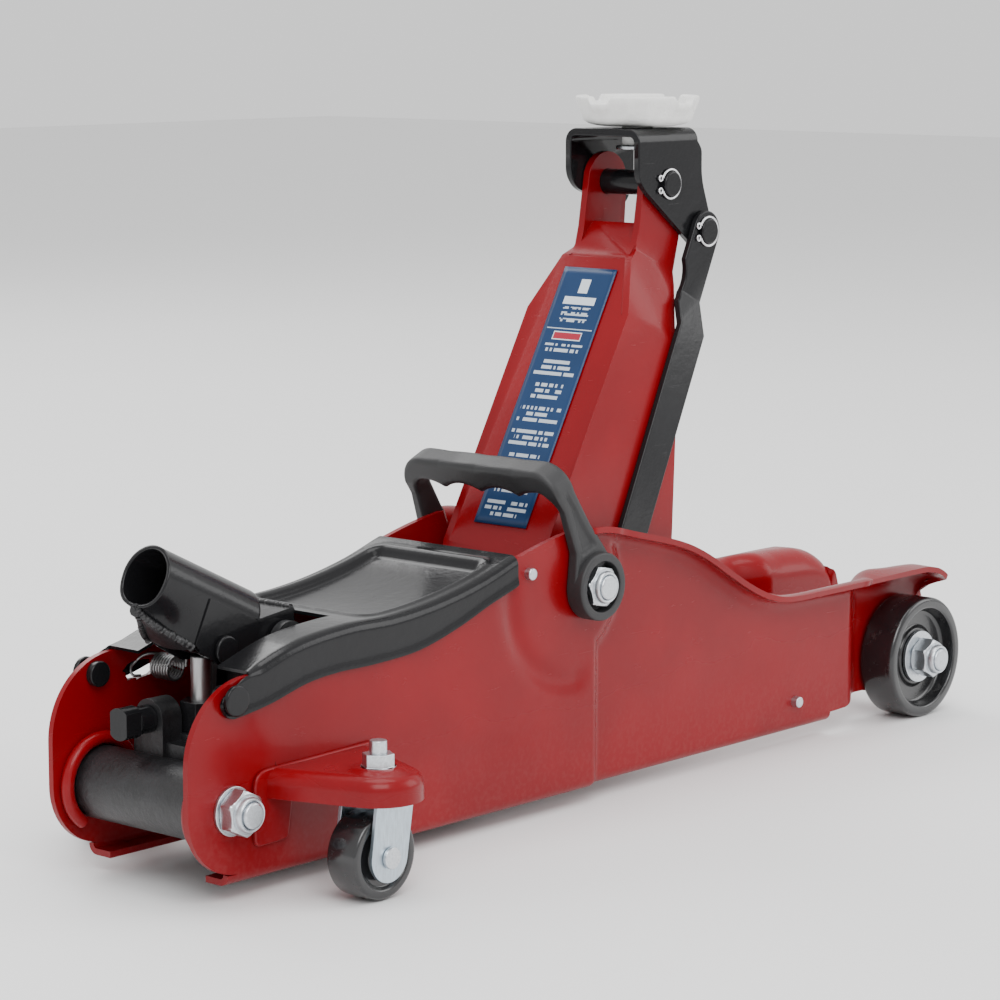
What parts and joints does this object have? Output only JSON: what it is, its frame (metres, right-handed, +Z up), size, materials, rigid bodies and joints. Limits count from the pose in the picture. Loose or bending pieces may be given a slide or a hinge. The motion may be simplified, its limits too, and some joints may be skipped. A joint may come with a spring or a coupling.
{
  "type": "hydraulic trolley jack",
  "caption": "Low hydraulic trolley jack: pressed side plates on wheels and castors, raised lift arm with a levelled saddle, pump handle socket and carry handle.",
  "frame": {"origin": "middle of the whole jack's outline at floor level", "axes": "+X to the lifting end, +Y to the left side, +Z up"},
  "size_m": [0.5906, 0.211, 0.349],
  "materials": {
    "red_paint": "gloss",
    "black_paint": "gloss",
    "cast_black": "satin",
    "zinc_plate": "satin",
    "bright_steel": "satin",
    "black_nylon": "gloss",
    "matte_plastic": "matte",
    "pale_cast": "matte",
    "seal_rubber": "matte",
    "panel_film": "gloss"
  },
  "bodies": {
    "chassis": {"side_plate_left": "red_paint", "side_plate_right": "red_paint", "trunnion_ring_left": "red_paint", "trunnion_ring_right": "red_paint", "castor_bracket_left": "red_paint", "castor_bracket_right": "red_paint", "power_unit_block": "cast_black", "reservoir_tube": "black_paint", "ram_cylinder": "bright_steel", "end_gland": "black_paint", "pump_barrel": "black_paint", "filler_plug": "seal_rubber", "trunnion_studs": "zinc_plate", "hex_nuts": "zinc_plate", "washers": "zinc_plate", "main_shaft": "bright_steel", "front_axle": "bright_steel", "axle_sleeves": "zinc_plate", "cover": "black_paint", "cover_studs": "black_paint", "cross_rod": "zinc_plate", "stub_pins": "zinc_plate", "socket_pivot_pin": "black_paint", "link_anchor": "bright_steel", "castor_studs": "zinc_plate", "return_spring": "bright_steel"},
    "arm": {"lift_arm": "red_paint", "ram_roller": "bright_steel", "arm_pin": "black_paint", "pin_clips": "zinc_plate", "instruction_panel": "panel_film"},
    "bracket": {"saddle_bracket": "black_paint", "link_pin": "black_paint", "link_clip": "zinc_plate"},
    "saddle": {"saddle": "pale_cast", "saddle_screw": "zinc_plate"},
    "link": {"link_bar": "black_paint"},
    "ram": {"ram": "bright_steel", "ram_seal": "seal_rubber"},
    "socket": {"handle_socket": "black_paint", "socket_pin": "black_paint"},
    "plunger": {"pump_plunger": "bright_steel"},
    "valve": {"release_valve": "black_paint"},
    "carry_handle": {"carry_handle": "matte_plastic"},
    "castor_left": {"castor_fork_left": "zinc_plate", "castor_axle_left": "zinc_plate"},
    "castor_right": {"castor_fork_right": "zinc_plate", "castor_axle_right": "zinc_plate"},
    "castor_wheel_left": {"castor_wheel_left": "black_nylon"},
    "castor_wheel_right": {"castor_wheel_right": "black_nylon"},
    "front_wheel_left": {"front_wheel_left": "black_nylon"},
    "front_wheel_right": {"front_wheel_right": "black_nylon"}
  },
  "joints": [
    {"name": "arm_lift", "type": "hinge", "parent": "chassis", "child": "arm", "pos_m": [-0.02485, 0, 0.112], "axis": [0, 1, 0], "range_deg": [0, 84]},
    {"name": "bracket_level", "type": "hinge", "parent": "arm", "child": "bracket", "pos_m": [0.065, 0, 0.30468], "axis": [0, 1, 0], "range_deg": [-84.5, 0]},
    {"name": "link_swing", "type": "hinge", "parent": "chassis", "child": "link", "pos_m": [0.00215, 0, 0.0867], "axis": [0, 1, 0], "range_deg": [0, 84.5]},
    {"name": "ram_stroke", "type": "slide", "parent": "chassis", "child": "ram", "axis": [-1, 0, 0], "range_m": [0, 0.0671]},
    {"name": "saddle_spin", "type": "hinge", "parent": "bracket", "child": "saddle", "pos_m": [0.069, 0, 0.33268], "axis": [0, 0, 1], "continuous": true},
    {"name": "socket_pump", "type": "hinge", "parent": "chassis", "child": "socket", "pos_m": [-0.20655, 0, 0.106], "axis": [0, -1, 0], "range_deg": [0, 24], "stiffness_Nm_per_rad": 0.5, "springref_deg": -34.38, "deforming": ["return_spring"]},
    {"name": "plunger_stroke", "type": "slide", "parent": "chassis", "child": "plunger", "axis": [0, 0, -1], "range_m": [0, 0.0156]},
    {"name": "release_valve", "type": "hinge", "parent": "chassis", "child": "valve", "pos_m": [-0.26905, 0.011, 0.0755], "axis": [1, 0, 0], "range_deg": [0, 360]},
    {"name": "carry_handle_fold", "type": "hinge", "parent": "chassis", "child": "carry_handle", "pos_m": [-0.02485, 0, 0.112], "axis": [0, 1, 0], "range_deg": [-28, 0]},
    {"name": "castor_swivel_left", "type": "hinge", "parent": "chassis", "child": "castor_left", "pos_m": [-0.21585, 0.085, 0.05], "axis": [0, 0, 1], "continuous": true},
    {"name": "castor_roll_left", "type": "hinge", "parent": "castor_left", "child": "castor_wheel_left", "pos_m": [-0.22085, 0.085, 0.0205], "axis": [0, 1, 0], "continuous": true},
    {"name": "front_roll_left", "type": "hinge", "parent": "chassis", "child": "front_wheel_left", "pos_m": [0.26165, 0.042, 0.0337], "axis": [0, 1, 0], "continuous": true},
    {"name": "castor_swivel_right", "type": "hinge", "parent": "chassis", "child": "castor_right", "pos_m": [-0.21585, -0.085, 0.05], "axis": [0, 0, 1], "continuous": true},
    {"name": "castor_roll_right", "type": "hinge", "parent": "castor_right", "child": "castor_wheel_right", "pos_m": [-0.22085, -0.085, 0.0205], "axis": [0, 1, 0], "continuous": true},
    {"name": "front_roll_right", "type": "hinge", "parent": "chassis", "child": "front_wheel_right", "pos_m": [0.26165, -0.042, 0.0337], "axis": [0, 1, 0], "continuous": true}
  ],
  "couplings": [
    {"joint": "bracket_level", "follows": "arm_lift", "ratio": -1},
    {"joint": "link_swing", "follows": "arm_lift", "ratio": 1},
    {"joint": "ram_stroke", "follows": "arm_lift", "m_per_rad": 0.045641},
    {"joint": "plunger_stroke", "follows": "socket_pump", "m_per_rad": 0.0369}
  ]
}
